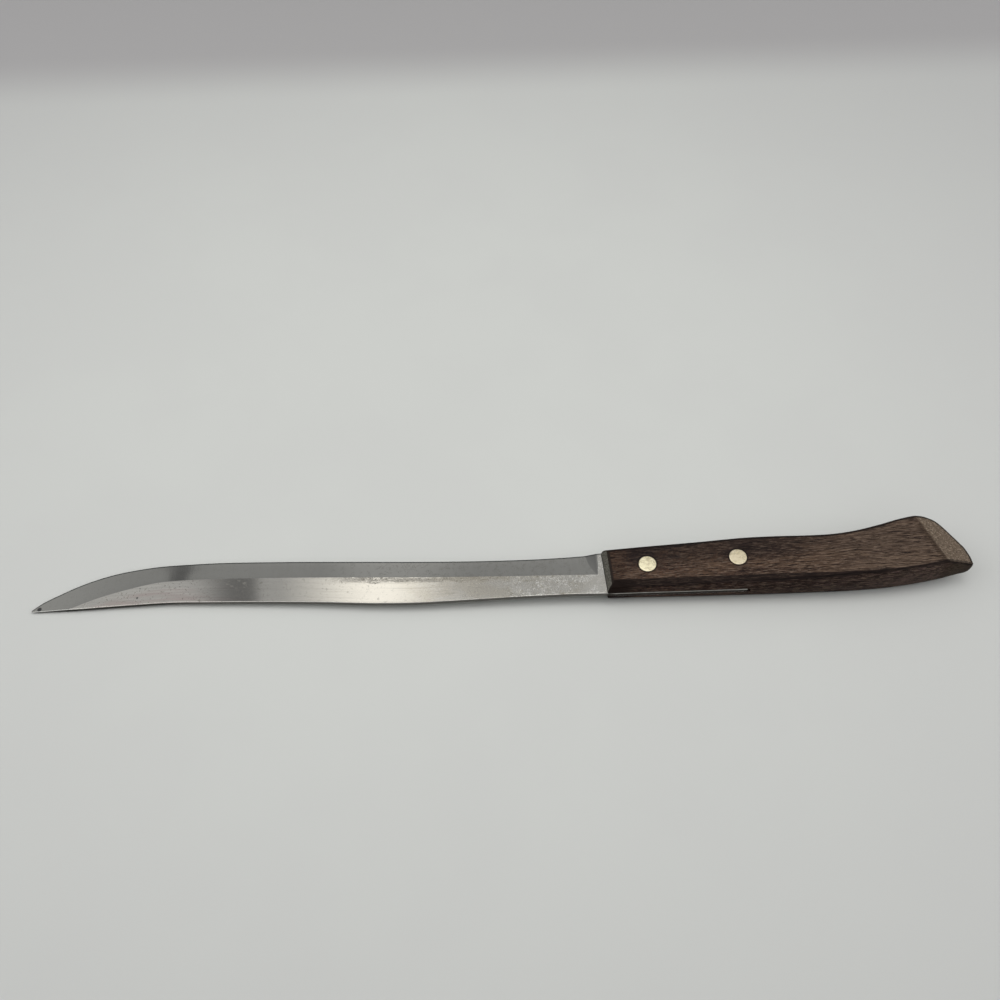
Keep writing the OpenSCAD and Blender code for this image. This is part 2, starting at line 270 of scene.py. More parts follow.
# What the steel's material asks of each point: how far it lies from the grind line, the cutting
# edge and the spine, and whether it is on the wheel's ramp. Well below the line counts as flat.
FLAT_VALUE = -9
HAIR = 0.01
at = local_mm(blade)
at_x = np.clip(at[:, 0], -BLADE_LEN, 0)
from_grind = at[:, 1] - grind_y(at_x)
unground = at[:, 0] > -RICASSO + HAIR
keep_value(blade, "from_grind", np.where(unground, FLAT_VALUE, from_grind))
ramp_z = STOCK_T / 2 + (STOCK_T - EDGE_T) / 2 / RUNOUT * (at[:, 0] + RICASSO)
on_ramp = (np.abs(np.abs(at[:, 2]) - ramp_z) < 0.4 * HAIR) & (from_grind > HAIR)
keep_value(blade, "on_ramp", np.where(at[:, 0] < -RICASSO + HAIR, on_ramp, 0))
keep_value(blade, "from_edge", edge_y(at_x) - at[:, 1])
keep_value(blade, "from_spine", at[:, 1] - spine_y(at_x))


def put(tree, kind, values=None, **settings):
    """Adds a shader node. A value is either set on the named socket or linked to it."""
    made = tree.nodes.new(kind)
    for key, setting in settings.items():
        setattr(made, key, setting)
    for key, value in (values or {}).items():
        if isinstance(value, bpy.types.NodeSocket):
            tree.links.new(value, made.inputs[key])
        else:
            made.inputs[key].default_value = value
    return made


def sums(tree, operation, *values):
    """One step of arithmetic on sockets and numbers."""
    return put(tree, "ShaderNodeMath", dict(enumerate(values)), operation=operation).outputs[0]


def times(tree, *values):
    """The product of sockets and numbers."""
    found = values[0]
    for value in values[1:]:
        found = sums(tree, "MULTIPLY", found, value)
    return found


def most(tree, *values):
    """The greatest of sockets and numbers."""
    found = values[0]
    for value in values[1:]:
        found = sums(tree, "MAXIMUM", found, value)
    return found


def rest_of(tree, share):
    """What a share leaves of the whole."""
    return sums(tree, "SUBTRACT", 1.0, share)


def between(tree, value, low, high, start=0.0, end=1.0):
    """Goes smoothly from start to end while value goes from low to high."""
    names = ("Value", "From Min", "From Max", "To Min", "To Max")
    values = dict(zip(names, (value, low, high, start, end)))
    return put(tree, "ShaderNodeMapRange", values, interpolation_type="SMOOTHSTEP").outputs[0]


def blended(tree, share, first, second):
    """The first colour, going over to the second as share goes to 1."""
    made = put(tree, "ShaderNodeMix", data_type="RGBA")
    for at_socket, value in zip((0, 6, 7), (share, first, second)):
        if isinstance(value, bpy.types.NodeSocket):
            tree.links.new(value, made.inputs[at_socket])
        elif at_socket:
            made.inputs[at_socket].default_value = (*value, 1)
        else:
            made.inputs[at_socket].default_value = value
    return made.outputs[2]


def value_of(tree, name):
    """The number that keep_value stored under this name."""
    return put(tree, "ShaderNodeAttribute", attribute_name=name).outputs["Fac"]


def effect(name, inputs, outputs):
    """A new shader node group with its named sockets, and its input and output nodes."""
    group = bpy.data.node_groups.new(name, "ShaderNodeTree")
    for label, kind in inputs:
        group.interface.new_socket(name=label, in_out="INPUT", socket_type=kind)
    for label in outputs:
        group.interface.new_socket(name=label, in_out="OUTPUT", socket_type="NodeSocketFloat")
    return group, group.nodes.new("NodeGroupInput").outputs, group.nodes.new("NodeGroupOutput")


def use(tree, group, values):
    """Places an effect in a material and gives its outputs."""
    made = tree.nodes.new("ShaderNodeGroup")
    made.node_tree = group
    for key, value in values.items():
        if isinstance(value, bpy.types.NodeSocket):
            tree.links.new(value, made.inputs[key])
        else:
            made.inputs[key].default_value = value
    return made.outputs


def finish(name, **plain):
    """A material with one Principled shader, whose plain values are set on its own sockets."""
    material = bpy.data.materials.new(name)
    material.use_nodes = True
    shader = material.node_tree.nodes["Principled BSDF"]
    for key, value in plain.items():
        shader.inputs[key.replace("_", " ")].default_value = value
    return material, material.node_tree, shader.inputs


def place_in_mm(tree):
    """Where a point is, in millimetres from the front of the handle."""
    spot = put(tree, "ShaderNodeTexCoord").outputs["Object"]
    grown = put(tree, "ShaderNodeVectorMath", {0: spot, "Scale": 1000.0}, operation="SCALE")
    moved = {0: grown.outputs[0], 1: tuple(CENTRE)}
    return put(tree, "ShaderNodeVectorMath", moved, operation="SUBTRACT").outputs[0]


# Fine parallel lines, as polishing, sanding or wood fibre leaves them: Stretch is how many
# lines lie along each direction in a millimetre
lines, given, made = effect(
    "fine lines",
    [("Place", "NodeSocketVector"), ("Stretch", "NodeSocketVector"), ("From", "NodeSocketFloat"),
     ("To", "NodeSocketFloat")],
    ["Tone", "Lines"],
)
stretched = {0: given["Place"], 1: given["Stretch"]}
spread = put(lines, "ShaderNodeVectorMath", stretched, operation="MULTIPLY")
tone = put(lines, "ShaderNodeTexNoise", {
    "Vector": spread.outputs[0], "Scale": 1.0, "Detail": 3.0, "Roughness": 0.6,
}).outputs["Fac"]
lines.links.new(tone, made.inputs["Tone"])
lines.links.new(between(lines, tone, given["From"], given["To"]), made.inputs["Lines"])

# Dried stains and specks: thin closed outlines like the rims of dried drops, and small spots
stains, given, made = effect(
    "dried stains",
    [("Place", "NodeSocketVector"), ("Size", "NodeSocketFloat")],
    ["Rims", "Spots"],
)
finer = sums(stains, "DIVIDE", 1.0, given["Size"])
pools = put(stains, "ShaderNodeTexNoise", {
    "Vector": given["Place"], "Scale": finer, "Detail": 2.0, "Roughness": 0.55, "Distortion": 0.6,
}).outputs["Fac"]
from_rim = sums(stains, "ABSOLUTE", sums(stains, "SUBTRACT", pools, 0.5))
rims = between(stains, from_rim, 0.01, 0.06, 1.0, 0.0)
patches = put(stains, "ShaderNodeTexNoise", {
    "Vector": given["Place"], "Scale": times(stains, finer, 0.45), "Detail": 1.0,
}).outputs["Fac"]
patchy_rims = times(stains, rims, between(stains, patches, 0.46, 0.6))
stains.links.new(patchy_rims, made.inputs["Rims"])
stains.links.new(between(stains, pools, 0.62, 0.72), made.inputs["Spots"])

steel, tree, shader = finish("polished and ground steel", Metallic=1.0)
place = place_in_mm(tree)
place_xyz = put(tree, "ShaderNodeSeparateXYZ", {0: place}).outputs
x = place_xyz["X"]
past_grind = value_of(tree, "from_grind")
ground = sums(tree, "GREATER_THAN", past_grind, 0.015)
# Painted shade along the cutting edge, fading out over its last half millimetre
edge_shade = between(tree, value_of(tree, "from_edge"), 0.25, 0.55, 1.0, 0.0)
from_spine = value_of(tree, "from_spine")
along = put(tree, "ShaderNodeCombineXYZ", {"X": x, "Y": from_spine, "Z": place_xyz["Z"]}).outputs[0]
polish = use(tree, lines, {"Place": along, "Stretch": (0.03, 1.8, 1.8), "From": 0.5, "To": 0.66})
streaks = use(tree, lines, {"Place": along, "Stretch": (0.05, 1.0, 1.0), "From": 0.5, "To": 0.62})
smears = use(tree, lines, {"Place": along, "Stretch": (0.04, 0.3, 0.3), "From": 0.35, "To": 0.65})
grinding = use(tree, lines, {"Place": place, "Stretch": (0.7, 0.06, 0.06), "From": 0.45, "To": 0.62})
cloud = use(tree, lines, {"Place": place, "Stretch": (0.05, 0.12, 0.12), "From": 0.42, "To": 0.6})
drops = use(tree, stains, {"Place": place, "Size": 1.2})
dots = use(tree, stains, {"Place": place, "Size": 0.8})
grit = use(tree, lines, {"Place": place, "Stretch": (1.7, 2.2, 2.2), "From": 0.5, "To": 0.6})
wander = use(tree, lines, {"Place": place, "Stretch": (0.22, 0.1, 0.1), "From": 0.3, "To": 0.7})

# Stains gather just below the grind line, where wet fingers leave them, and towards the handle.
# One dried line winds along there, doubled in places, and it is broader near the handle.
near_line = times(tree, between(tree, past_grind, -3.0, -0.2), between(tree, x, -108.0, -85.0))
near_handle = between(tree, x, -72.0, -30.0, 0.0, 0.95)
stained = times(tree, drops["Rims"], most(tree, near_line, near_handle))
dotted = times(tree, dots["Rims"], near_line, 0.7)
grit_share = most(tree, times(tree, near_line, 0.6), between(tree, x, -80.0, -35.0, 0.0, 0.45))
gritty = times(tree, grit["Lines"], grit_share)
by_line = times(tree, near_line, between(tree, x, -28.0, -42.0))
speck_share = most(tree, by_line, between(tree, x, -90.0, -170.0, 0.15, 0.8))
specks = times(tree, most(tree, dots["Spots"], drops["Spots"]), speck_share)
meander = use(tree, lines, {"Place": place, "Stretch": (0.5, 0.5, 0.5), "From": 0.3, "To": 0.7})
wavy = sums(tree, "MULTIPLY_ADD", meander["Tone"], 3.4, times(tree, wander["Tone"], 2.0))
tide = sums(tree, "ADD", wavy, sums(tree, "ADD", past_grind, -2.0))
lower_by = between(tree, cloud["Tone"], 0.4, 0.5, 1.6, 0.7)
lower_tide = sums(tree, "ABSOLUTE", sums(tree, "ADD", tide, lower_by))
twice = sums(tree, "MINIMUM", sums(tree, "ABSOLUTE", tide), lower_tide)
line_width = between(tree, x, -78.0, -62.0, 0.42, 0.95)
tide_line = times(
    tree, between(tree, twice, 0.12, line_width, 1.0, 0.0),
    between(tree, grit["Tone"], 0.52, 0.44, 0.25, 1.0),
    between(tree, x, -104.0, -90.0), between(tree, x, -24.0, -40.0),
)
flat_marks = most(tree, stained, tide_line, dotted, gritty, specks)

# The flat is paler near the tip and faintly rosy low down there. Towards the handle it turns
# brownish and then chalky, and right beside the handle it is bare and bright.
near_tip = between(tree, x, -125.0, -160.0)
warm = blended(tree, near_tip, (0.59, 0.578, 0.548), (0.66, 0.645, 0.615))
low_flat = times(tree, near_tip, between(tree, past_grind, -1.5, -4.5))
rosy = times(tree, smears["Lines"], low_flat, 0.85)
worn_flat = blended(tree, rosy, warm, (0.62, 0.535, 0.515))
scratched = blended(tree, times(tree, polish["Lines"], 0.28), worn_flat, (0.42, 0.405, 0.38))
streaky = times(tree, streaks["Lines"], near_tip, 0.55)
buffed = blended(tree, streaky, scratched, (0.76, 0.74, 0.7))
chalky = times(tree, dots["Rims"], between(tree, x, -42.0, -22.0, 0.0, 1.5))
chalked = blended(tree, chalky, buffed, (0.93, 0.92, 0.89))
browned = times(tree, cloud["Lines"], between(tree, x, -85.0, -55.0, 0.0, 0.36))
dull_flat = blended(tree, browned, chalked, (0.46, 0.42, 0.34))
marked_flat = blended(tree, times(tree, flat_marks, 0.8), dull_flat, (0.15, 0.135, 0.105))
beside_handle = between(tree, x, -10.0, -5.0, 0.0, 0.3)
flat_colour = blended(tree, beside_handle, marked_flat, (0.79, 0.785, 0.76))

# The hollow is greyer, with the wheel's marks across it, and painted lighter in two places, a painted
# highlight
streaked = times(tree, grinding["Lines"], between(tree, x, -140.0, -50.0, 0.1, 0.2))
hollow_colour = blended(tree, streaked, (0.415, 0.413, 0.398), (0.35, 0.347, 0.33))
lit_hollow = times(tree, between(tree, x, -106.0, -84.0), between(tree, x, -46.0, -74.0))
lit_tip = between(tree, x, -170.0, -205.0, 0.0, 0.7)
hollow_highlight_share = times(tree, sums(tree, "ADD", lit_hollow, lit_tip), 0.62)
# The hollow's painted highlight, towards the handle and at the tip
polished = blended(tree, hollow_highlight_share, hollow_colour, (0.6, 0.595, 0.57))
dried = times(tree, dots["Rims"], between(tree, x, -112.0, -80.0, 0.15, 0.5))
dripped = blended(tree, dried, polished, (0.26, 0.25, 0.23))
ramp_colour = blended(tree, value_of(tree, "on_ramp"), dripped, (0.32, 0.32, 0.31))
body_colour = blended(tree, ground, flat_colour, ramp_colour)

# The very tip and two small spots on the flat near it are darkened
dark_spots = 0.0
for spot, size, depth in (
    ((-206.8, -1.35, 0.1), 1.0, 0.9), ((-171.4, 0.8, 0.9), 0.5, 0.8), ((-170.9, 4.6, 0.9), 0.35, 0.5),
):
    gap = put(tree, "ShaderNodeVectorMath", {0: place, 1: spot}, operation="DISTANCE")
    dark_spot = between(tree, gap.outputs["Value"], size, 0.6 * size, 0.0, depth)
    dark_spots = most(tree, dark_spot, dark_spots)
tipped = blended(tree, dark_spots, body_colour, (0.07, 0.07, 0.075))
# The cutting edge is painted dark, a painted shade along the sharpened bevel
tree.links.new(blended(tree, edge_shade, tipped, (0.1, 0.1, 0.095)), shader["Base Color"])
duller_part = between(tree, x, -124.0, -112.0)
polish_rough = sums(tree, "MULTIPLY_ADD", duller_part, 0.085, 0.03)
stain_rough = sums(tree, "MULTIPLY_ADD", duller_part, 0.09, 0.05)
flat_rough = most(
    tree, sums(tree, "MULTIPLY_ADD", polish["Tone"], 0.06, polish_rough),
    sums(tree, "MULTIPLY_ADD", flat_marks, 0.25, stain_rough),
)
corner_rough = between(tree, from_spine, 0.35, 0.15, 0.0, 0.35)
hollow_rough = sums(tree, "MULTIPLY_ADD", cloud["Tone"], 0.04, 0.045)
off_hollow = rest_of(tree, ground)
rough = sums(
    tree, "ADD", times(tree, most(tree, flat_rough, corner_rough), off_hollow),
    times(tree, hollow_rough, ground),
)
tree.links.new(rough, shader["Roughness"])
height = sums(
    tree, "ADD", times(tree, polish["Tone"], off_hollow), times(tree, grinding["Tone"], ground),
)
bump = put(tree, "ShaderNodeBump", {"Height": height, "Strength": 0.5, "Distance": 0.000006})
tree.links.new(bump.outputs[0], shader["Normal"])
blade.data.materials.append(steel)

# The sheared spine is left as it came from the press: dull, dark and lightly pitted. Near the
# tip it is painted nearly black, a painted shade where it nears the table. Where it lies open in
# the handle it was sanded with the wood; there its upper half is painted light, a painted
# highlight that grows towards the tang's end, and its lower half is painted shade in the slot.
sheared, tree, shader = finish("dull sheared steel", Metallic=1.0)
place = place_in_mm(tree)
rubbed = use(tree, lines, {"Place": place, "Stretch": (0.4, 2.5, 2.5), "From": 0.45, "To": 0.7})
place_xyz = put(tree, "ShaderNodeSeparateXYZ", {0: place}).outputs
x = place_xyz["X"]
plain = blended(tree, rubbed["Lines"], (0.135, 0.13, 0.12), (0.19, 0.185, 0.175))
# Painted shade: the spine is painted nearly black towards the tip
spine_tip_shaded = blended(tree, between(tree, x, -145.0, -165.0, 0.0, 0.9), plain, (0.025, 0.024, 0.021))
tang_edge = blended(tree, rubbed["Lines"], (0.17, 0.17, 0.16), (0.26, 0.26, 0.25))
# Painted highlight on the tang's upper half, stronger near its end
tang_upper_highlight = blended(tree, between(tree, x, 40.0, 50.0, 0.0, 0.7), tang_edge, (0.6, 0.6, 0.58))
# Painted shade on the tang's lower half, in the slot
tang_lower_shade = blended(tree, rubbed["Lines"], (0.02, 0.013, 0.011), (0.05, 0.037, 0.032))
in_handle = blended(tree, between(tree, place_xyz["Z"], 0.3, 0.7), tang_lower_shade, tang_upper_highlight)
tree.links.new(blended(tree, between(tree, x, -0.6, 0.6), spine_tip_shaded, in_handle), shader["Base Color"])
tree.links.new(sums(tree, "MULTIPLY_ADD", rubbed["Tone"], 0.2, 0.42), shader["Roughness"])
bump = put(tree, "ShaderNodeBump", {"Height": rubbed["Tone"], "Strength": 0.5, "Distance": 0.00003})
tree.links.new(bump.outputs[0], shader["Normal"])
blade.data.materials.append(sheared)

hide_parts("blade")
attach(blade, "root")


# Handle. One piece of dark brown hardwood, shaped all round with crowned sides, sanded to two
# broad faces that taper towards the blade, bevelled at the butt, and sawn for the tang with a
# round saw from the spine side. The oil finish has worn dull.
FRONT_T = 11.2
REAR_T = 14.8
CROWN = 1.5
EDGE_EASE = 0.9
TAPER_END = 0.46 * HANDLE_LEN
LEVEL_START = 0.72 * HANDLE_LEN
TAPER_RISE = (REAR_T - FRONT_T) / (TAPER_END + LEVEL_START)
BEVEL_X = 120.3
BEVEL_SLOPE = math.radians(23.4)
BEVEL_TURN = math.radians(18.4)
RIDGE_EASE = 0.7
CHAMFER_IN = 1.4
CHAMFER_LEN = 92
CHAMFER_SLOPE = math.radians(31)
CHAMFER_EASE = 0.5
FRONT_SKEW = 0.7
SKEW_REACH = 12
CORNER_R = 0.5
SLOT_GAP = 1.3
SAW_R = 60
SAW_LOOSE = 0.03
HEAD_R = 3.175
HEAD_T = 1.7
HEAD_LOOSE = 0.03
CUTTER_REACH = 9
SHARP_WOOD = 40
HOOK_X = 108
ROWS_APART = 1.5
HOOK_ROWS_APART = 0.6
WALL_PART = 0.36


def broad_z(x):
    """Height of the broad face above the blade's middle plane."""
    bend = (x - TAPER_END) ** 2 / (2 * (LEVEL_START - TAPER_END))
    level = (TAPER_END + LEVEL_START) / 2
    run = np.where(x < TAPER_END, x, np.where(x > LEVEL_START, level, x - bend))
    return FRONT_T / 2 + TAPER_RISE * run


def side_share(inset):
    """How high the side has risen, as a share of the half thickness, at a distance in."""
    mean_half = (FRONT_T + REAR_T) / 4
    start = math.atan(2 * CROWN / mean_half)
    ease_share = 1 - EDGE_EASE * (1 - math.sin(start)) / mean_half
    crown_in = CROWN * ease_share**2
    full_in = crown_in + EDGE_EASE * math.cos(start)
    arc = np.arccos(np.clip((full_in - inset) / EDGE_EASE, 0, 1))
    eased = 1 - EDGE_EASE * (1 - np.sin(arc)) / mean_half
    return np.where(inset < crown_in, np.sqrt(np.maximum(inset, 0) / CROWN), eased), crown_in, full_in


def bevel_z(x, y):
    """Height of the butt's bevel."""
    along = (x - BEVEL_X) * math.cos(BEVEL_TURN) + y * math.sin(BEVEL_TURN)
    return REAR_T / 2 - math.tan(BEVEL_SLOPE) * along


def lesser(a, b, reach):
    """The lower of two heights, with the ridge between them rounded over reach."""
    share = np.clip(0.5 + 0.5 * (b - a) / reach, 0, 1)
    return b + (a - b) * share - reach * share * (1 - share)


def skew_at(x, y):
    """How far the front leans forward at a height, from the spine side to the edge side."""
    return FRONT_SKEW * np.clip((y - lower_y(x)) / (upper_y(x) - lower_y(x)), 0, 1)


crown_in, full_in = side_share(np.zeros(1))[1:]
CHAMFER_START = float(lower_y(0)) + full_in + CHAMFER_IN
CHAMFER_END = float(lower_y(CHAMFER_LEN)) + full_in


def chamfer_y(x):
    """Where the chamfer along the spine side breaks away from the broad face."""
    return CHAMFER_START + (CHAMFER_END - CHAMFER_START) * x / CHAMFER_LEN


def chamfer_z(x, y):
    """Height of that chamfer."""
    return FRONT_T / 2 + TAPER_RISE * x + math.tan(CHAMFER_SLOPE) * (y - chamfer_y(x))


wall = np.concatenate((
    crown_in * np.linspace(0, 1, 10) ** 2,
    full_in - (full_in - crown_in) * np.cos(np.linspace(0, math.pi / 2, 8))[1:],
))
handle_x = np.concatenate((
    wall, np.arange(full_in + 0.6, HOOK_X, ROWS_APART),
    np.arange(HOOK_X, HANDLE_LEN - full_in - 0.2, HOOK_ROWS_APART), HANDLE_LEN - wall[::-1],
))[:, None]
to_side = np.maximum(CORNER_R - handle_x, 0)
rounded = CORNER_R - np.sqrt(np.maximum(CORNER_R**2 - to_side**2, 0))
upper = upper_y(handle_x) - rounded
lower = np.maximum(lower_y(handle_x) + rounded, cad_box[0][1] * 1000 - CENTRE[1])
lean = np.sqrt(1 + np.gradient(upper[:, 0], handle_x[:, 0])[:, None] ** 2)
widest_wall = wall / full_in * WALL_PART * (upper - lower)
reach = np.minimum(wall * lean, widest_wall)
under = np.minimum(wall * 1.02, widest_wall)
middle = np.linspace(0, 1, 15)[1:-1]
top_in, low_in = upper - reach, lower + under
face_top, face_low = top_in[:, -1:], low_in[:, -1:]
face_width = face_top - face_low
past_chamfer = face_low + np.clip(chamfer_y(handle_x) + 0.6 - face_low, 0.3, 0.3 * face_width)
handle_y = np.hstack((
    top_in, face_top + (past_chamfer - face_top) * middle,
    past_chamfer + (face_low - past_chamfer) * np.linspace(0, 1, 9)[:-1], low_in[:, ::-1],
))
grid_x = np.broadcast_to(handle_x, handle_y.shape)

# Distance of every grid point from the outline seen square to the broad face
corner_x, side_x = np.linspace(0, CORNER_R, 40), np.linspace(CORNER_R, HANDLE_LEN, 1500)
outline_x = np.concatenate((corner_x, side_x[1:]))
to_side = np.maximum(CORNER_R - outline_x, 0)
corner_in = CORNER_R - np.sqrt(CORNER_R**2 - to_side**2)
outline = np.concatenate((
    np.column_stack((outline_x, upper_y(outline_x) - corner_in)),
    np.column_stack((outline_x, lower_y(outline_x) + corner_in))[::-1],
))
step = np.roll(outline, -1, 0) - outline


def outline_distance(x, y):
    """How far points lie inside the outline."""
    spots = np.column_stack((np.ravel(x), np.ravel(y)))
    found = np.empty(len(spots))
    for first in range(0, len(spots), 500):
        apart = spots[first:first + 500, None] - outline
        along = np.clip((apart * step).sum(2) / np.maximum((step**2).sum(1), 1e-12), 0, 1)
        found[first:first + 500] = np.sqrt(((apart - along[..., None] * step) ** 2).sum(2)).min(1)
    return found.reshape(np.shape(x))


inset = outline_distance(grid_x, handle_y)
inset[:, [0, -1]] = 0
inset[[0, -1]] = 0
risen = side_share(inset)[0]
grid_x = grid_x - skew_at(grid_x, handle_y) * np.maximum(1 - grid_x / SKEW_REACH, 0)
handle_z = risen * broad_z(grid_x)
bevelled = lesser(handle_z, bevel_z(grid_x, handle_y), RIDGE_EASE)
bevelled = lesser(bevelled, chamfer_z(grid_x, handle_y), CHAMFER_EASE)
handle_z = np.where(risen > 0.02, np.minimum(handle_z, bevelled), handle_z)

rows, across = handle_y.shape
top_points = np.dstack((grid_x, handle_y, handle_z)).reshape(-1, 3)
low_points = top_points * (1, 1, -1)
handle_faces = []
for j in range(rows - 1):
    for k in range(across - 1):
        a = j * across + k
        quad = (a, a + 1, a + across + 1, a + across)
        handle_faces.append(quad)
        handle_faces.append(tuple(len(top_points) + i for i in reversed(quad)))
handle = mesh_object("shaped_handle", np.concatenate((top_points, low_points)), handle_faces)
clean(handle, SHARP_WOOD)

saw_reach = TANG_LEN + SLOT_GAP + SAW_R - math.sqrt(SAW_R**2 - float(lower_y(TANG_LEN)) ** 2)
half_saw = STOCK_T / 2 + SAW_LOOSE
cut(handle, bar(saw_reach - SAW_R, 0, SAW_R, -half_saw, half_saw, 240))
for rivet in (FRONT_RIVET, REAR_RIVET):
    seat = float(broad_z(rivet[0])) - HEAD_T
    cut(handle, bar(*rivet, HOLE_R, -CUTTER_REACH, CUTTER_REACH, 64))
    cut(handle, bar(*rivet, HEAD_R + HEAD_LOOSE, seat, CUTTER_REACH, 96))
    cut(handle, bar(*rivet, HEAD_R + HEAD_LOOSE, -CUTTER_REACH, -seat, 96))
for face in handle.data.polygons:
    face.use_smooth = True
handle.data.set_sharp_from_angle(angle=math.radians(SHARP_WOOD))

# What the wood's material asks of each point: how deep it lies under the broad face, how far
# from the sides and the front, and whether it is on the bevel, the chamfer or the front end
ON_PLANE = 0.3
at = local_mm(handle)
off_middle = np.abs(at[:, 2])
sunk = broad_z(at[:, 0]) - off_middle
cut_back = np.minimum(bevel_z(at[:, 0], at[:, 1]), chamfer_z(at[:, 0], at[:, 1])) - off_middle
keep_value(handle, "below_face", np.maximum(np.minimum(sunk, cut_back), 0))
to_bevel = bevel_z(at[:, 0], at[:, 1]) - broad_z(at[:, 0])
keep_value(handle, "to_bevel", to_bevel)
on_bevel = (to_bevel < 0) & (np.abs(sunk + to_bevel) < ON_PLANE)
keep_value(handle, "on_bevel", on_bevel * np.clip(-to_bevel / 0.25, 0, 1))
skewed = skew_at(np.maximum(at[:, 0], 0), at[:, 1])
behind_front = (at[:, 0] + skewed) / (1 + skewed / SKEW_REACH)
behind_front = np.where(at[:, 0] < SKEW_REACH, behind_front, at[:, 0])
keep_value(handle, "behind_front", np.minimum(behind_front, SKEW_REACH))
side_in = np.minimum(full_in, CROWN * (off_middle / broad_z(at[:, 0])) ** 2)
keep_value(handle, "from_side", outline_distance(behind_front, at[:, 1]) - side_in)
from_sides = np.minimum(upper_y(at[:, 0]) - at[:, 1], at[:, 1] - lower_y(at[:, 0]))
at_front = np.clip((from_sides - behind_front) / 0.4, 0, 1) * (behind_front < full_in + 0.1)
keep_value(handle, "at_front", at_front)
to_chamfer = chamfer_z(at[:, 0], at[:, 1]) - broad_z(at[:, 0])
on_chamfer = (to_chamfer < 0) & (np.abs(sunk + to_chamfer) < ON_PLANE) & (at[:, 1] < -4)
keep_value(handle, "on_chamfer", on_chamfer * np.clip(-to_chamfer / 0.2, 0, 1))

wood, tree, shader = finish("worn dark hardwood", IOR=1.42, Specular_IOR_Level=0.17)
place = place_in_mm(tree)
place_xyz = put(tree, "ShaderNodeSeparateXYZ", {0: place}).outputs
x, y = place_xyz["X"], place_xyz["Y"]
sway = use(tree, lines, {"Place": place, "Stretch": (0.02, 0.05, 0.05), "From": 0.3, "To": 0.7})
drift = put(tree, "ShaderNodeCombineXYZ", {
    "Y": times(tree, sway["Tone"], 1.4), "Z": times(tree, sway["Tone"], 1.0),
})
grain = put(tree, "ShaderNodeVectorMath", {0: place, 1: drift.outputs[0]}).outputs[0]
fibre = use(tree, lines, {"Place": grain, "Stretch": (0.09, 2.2, 2.2), "From": 0.42, "To": 0.58})
pores = use(tree, lines, {"Place": grain, "Stretch": (0.19, 3.6, 3.6), "From": 0.51, "To": 0.58})
dust = use(tree, lines, {"Place": grain, "Stretch": (0.3, 3.4, 3.4), "From": 0.54, "To": 0.6})
patch = use(tree, lines, {"Place": grain, "Stretch": (0.035, 0.14, 0.14), "From": 0.42, "To": 0.58})
speck = use(tree, lines, {"Place": grain, "Stretch": (1.2, 1.9, 1.9), "From": 0.5, "To": 0.6})
sunk_in = value_of(tree, "below_face")
bevel_here = value_of(tree, "on_bevel")
chamfer_here = value_of(tree, "on_chamfer")
from_side = value_of(tree, "from_side")
side = times(tree, between(tree, from_side, 0.75, 0.35), between(tree, sunk_in, 0.0, 0.1))

# The base tone: darker on the far side towards the front and paler at the butt. The sides are
# painted much darker than the broad faces, a painted shade.
heart = blended(tree, patch["Lines"], (0.109, 0.067, 0.043), (0.066, 0.04, 0.028))
far_front = times(
    tree, between(tree, y, -3.0, 3.0), between(tree, x, 4.0, 10.0),
    between(tree, x, 42.0, 95.0, 1.0, 0.2),
)
clouded = times(tree, far_front, between(tree, patch["Tone"], 0.38, 0.5, 0.7, 1.0))
shaded = blended(tree, clouded, heart, (0.009, 0.0055, 0.006))
pale = blended(tree, between(tree, x, 62.0, 105.0, 0.0, 0.7), shaded, (0.131, 0.093, 0.067))
# Painted shade: the sides, turned from the overhead light, are painted far darker than the faces
side_shaded = blended(tree, times(tree, side, 0.92), pale, (0.013, 0.005, 0.0045))
rubbed_side = times(tree, side, between(tree, x, 85.0, 118.0, 0.0, 0.75))
worn_side = blended(tree, rubbed_side, side_shaded, (0.07, 0.05, 0.04))
nose_side = times(tree, side, between(tree, x, 123.0, 128.0, 0.0, 0.8))
end_side = blended(tree, nose_side, worn_side, (0.105, 0.095, 0.065))
chamfered = blended(tree, times(tree, chamfer_here, 0.9), end_side, (0.006, 0.003, 0.003))

# The grain, which shows in every one of those tones
striped = blended(tree, times(tree, fibre["Lines"], 0.55), chamfered, (0.026, 0.014, 0.011))
pored = blended(tree, times(tree, pores["Lines"], 0.9), striped, (0.008, 0.004, 0.0035))
kept_clean = times(tree, most(tree, chamfer_here, clouded), 0.4)
dust_share = times(tree, dust["Lines"], sums(tree, "SUBTRACT", 0.55, kept_clean))
dusty = blended(tree, dust_share, pored, (0.25, 0.18, 0.135))
fleck_share = times(tree, speck["Lines"], between(tree, x, 70.0, 5.0, 0.12, 0.45))
covered = most(tree, chamfer_here, times(tree, clouded, 0.8))
specked = blended(tree, times(tree, fleck_share, rest_of(tree, covered)), dusty, (0.14, 0.07, 0.042))
side_lines = use(tree, lines, {"Place": grain, "Stretch": (0.12, 2.4, 2.0), "From": 0.52, "To": 0.6})
worn_lines = times(tree, side_lines["Lines"], side, between(tree, x, 70.0, 110.0, 0.3, 0.8))
side_lined = blended(tree, worn_lines, specked, (0.14, 0.09, 0.08))

# The bevel at the butt shows rough end grain, with dark blotches where it begins
end_cut = blended(tree, speck["Lines"], (0.15, 0.112, 0.08), (0.33, 0.26, 0.195))
end_pored = blended(tree, times(tree, pores["Lines"], 0.6), end_cut, (0.06, 0.04, 0.026))
at_butt = blended(tree, times(tree, bevel_here, 0.85), side_lined, end_pored)
ahead_of_bevel = sums(tree, "ADD", value_of(tree, "to_bevel"), -1.5)
blotchy = sums(tree, "MULTIPLY_ADD", speck["Tone"], 3.0, ahead_of_bevel)
before_bevel = times(
    tree, between(tree, blotchy, 1.1, 0.3), rest_of(tree, bevel_here),
    between(tree, y, 12.0, 8.0, 0.0, 0.6),
)
edged = blended(tree, before_bevel, at_butt, (0.03, 0.018, 0.01))
